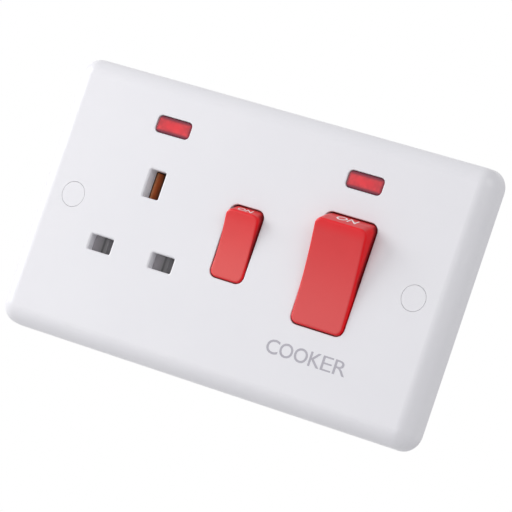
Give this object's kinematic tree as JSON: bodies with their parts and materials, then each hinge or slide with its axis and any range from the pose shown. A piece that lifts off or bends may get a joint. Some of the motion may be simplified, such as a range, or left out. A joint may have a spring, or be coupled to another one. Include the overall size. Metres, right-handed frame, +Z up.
{
  "type": "cooker control unit",
  "caption": "White two-gang wall plate with a shuttered switched socket, a large red double-pole rocker for a cooker, neon indicators and rear screw terminals.",
  "frame": {"origin": "centre of the two wall screw holes, in the plane of the plate's back rim, where the wall is", "axes": "+X along the plate, to the right as seen from the front; +Y into the wall; +Z up"},
  "size_m": [0.147, 0.0376, 0.0864],
  "materials": {
    "plate_white": "smooth semi-gloss moulded white",
    "housing_white": "satin moulded white",
    "rocker_red": "glossy moulded red",
    "neon_red": "translucent red window",
    "lamp_glass": "clear glass",
    "resistor_body": "painted body",
    "shutter_grey": "satin moulded grey",
    "contact_copper": "rolled copper alloy",
    "contact_brass": "machined brass",
    "zinc_steel": "zinc plated",
    "spring_steel": "drawn wire",
    "plunger_white": "natural moulded"
  },
  "bodies": {
    "frame": {"front_plate": "plate_white", "rear_housing": "housing_white", "housing_screws": "zinc_steel", "left_screw_cap": "plate_white", "right_screw_cap": "plate_white", "socket_neon_lens": "neon_red", "cooker_neon_lens": "neon_red", "socket_neon_lamp": "lamp_glass", "cooker_neon_lamp": "lamp_glass", "neon_resistors": "resistor_body", "earth_contact": "contact_copper", "line_contact": "contact_brass", "neutral_contact": "contact_brass", "earth_bar": "contact_brass", "neutral_load_terminal": "contact_brass", "line_load_terminal": "contact_brass", "neutral_supply_terminal": "contact_brass", "line_supply_terminal": "contact_brass", "terminal_screws": "zinc_steel", "line_busbar": "contact_copper", "neutral_busbar": "contact_copper", "shutter_spring": "spring_steel"},
    "socket_rocker": {"socket_rocker": "rocker_red", "socket_plunger_spring": "spring_steel"},
    "cooker_rocker": {"cooker_rocker": "rocker_red", "cooker_neutral_plunger_spring": "spring_steel", "cooker_line_plunger_spring": "spring_steel"},
    "socket_moving_contact": {"socket_moving_contact": "contact_copper"},
    "socket_plunger": {"socket_plunger": "plunger_white"},
    "cooker_neutral_moving_contact": {"cooker_neutral_moving_contact": "contact_copper"},
    "cooker_neutral_plunger": {"cooker_neutral_plunger": "plunger_white"},
    "cooker_line_moving_contact": {"cooker_line_moving_contact": "contact_copper"},
    "cooker_line_plunger": {"cooker_line_plunger": "plunger_white"},
    "shutter": {"shutter": "shutter_grey"}
  },
  "joints": [
    {"name": "socket_rocker_turn", "type": "hinge", "parent": "frame", "child": "socket_rocker", "pos_m": [-0.00068, -0.0032, 0], "axis": [1, 0, 0], "range_deg": [-15, 0]},
    {"name": "cooker_rocker_turn", "type": "hinge", "parent": "frame", "child": "cooker_rocker", "pos_m": [0.03325, -0.0032, 0], "axis": [1, 0, 0], "range_deg": [-19.5, 0]},
    {"name": "socket_contact_turn", "type": "hinge", "parent": "frame", "child": "socket_moving_contact", "pos_m": [-0.00068, 0.00885, 0], "axis": [1, 0, 0], "range_deg": [0, 19.5]},
    {"name": "socket_plunger_slide", "type": "slide", "parent": "socket_rocker", "child": "socket_plunger", "axis": [0, -0.9914, -0.1305], "range_m": [0, 0.001], "stiffness_N_per_m": 400, "springref_m": -0.002, "deforming": ["socket_plunger_spring"]},
    {"name": "cooker_neutral_contact_turn", "type": "hinge", "parent": "frame", "child": "cooker_neutral_moving_contact", "pos_m": [0.02825, 0.00885, 0], "axis": [1, 0, 0], "range_deg": [0, 19.5]},
    {"name": "cooker_neutral_plunger_slide", "type": "slide", "parent": "cooker_rocker", "child": "cooker_neutral_plunger", "axis": [0, -0.9856, -0.1693], "range_m": [0, 0.001], "stiffness_N_per_m": 400, "springref_m": -0.002, "deforming": ["cooker_neutral_plunger_spring"]},
    {"name": "cooker_line_contact_turn", "type": "hinge", "parent": "frame", "child": "cooker_line_moving_contact", "pos_m": [0.03825, 0.00885, 0], "axis": [1, 0, 0], "range_deg": [0, 19.5]},
    {"name": "cooker_line_plunger_slide", "type": "slide", "parent": "cooker_rocker", "child": "cooker_line_plunger", "axis": [0, -0.9856, -0.1693], "range_m": [0, 0.001], "stiffness_N_per_m": 400, "springref_m": -0.002, "deforming": ["cooker_line_plunger_spring"]},
    {"name": "shutter_slide", "type": "slide", "parent": "frame", "child": "shutter", "axis": [-1, 0, 0], "range_m": [0, 0.008], "stiffness_N_per_m": 80, "springref_m": -0.004, "deforming": ["shutter_spring"]}
  ],
  "couplings": [
    {"joint": "socket_contact_turn", "follows": "socket_rocker_turn", "ratio": -1.3},
    {"joint": "cooker_neutral_contact_turn", "follows": "cooker_rocker_turn", "ratio": -1},
    {"joint": "cooker_line_contact_turn", "follows": "cooker_rocker_turn", "ratio": -1}
  ]
}
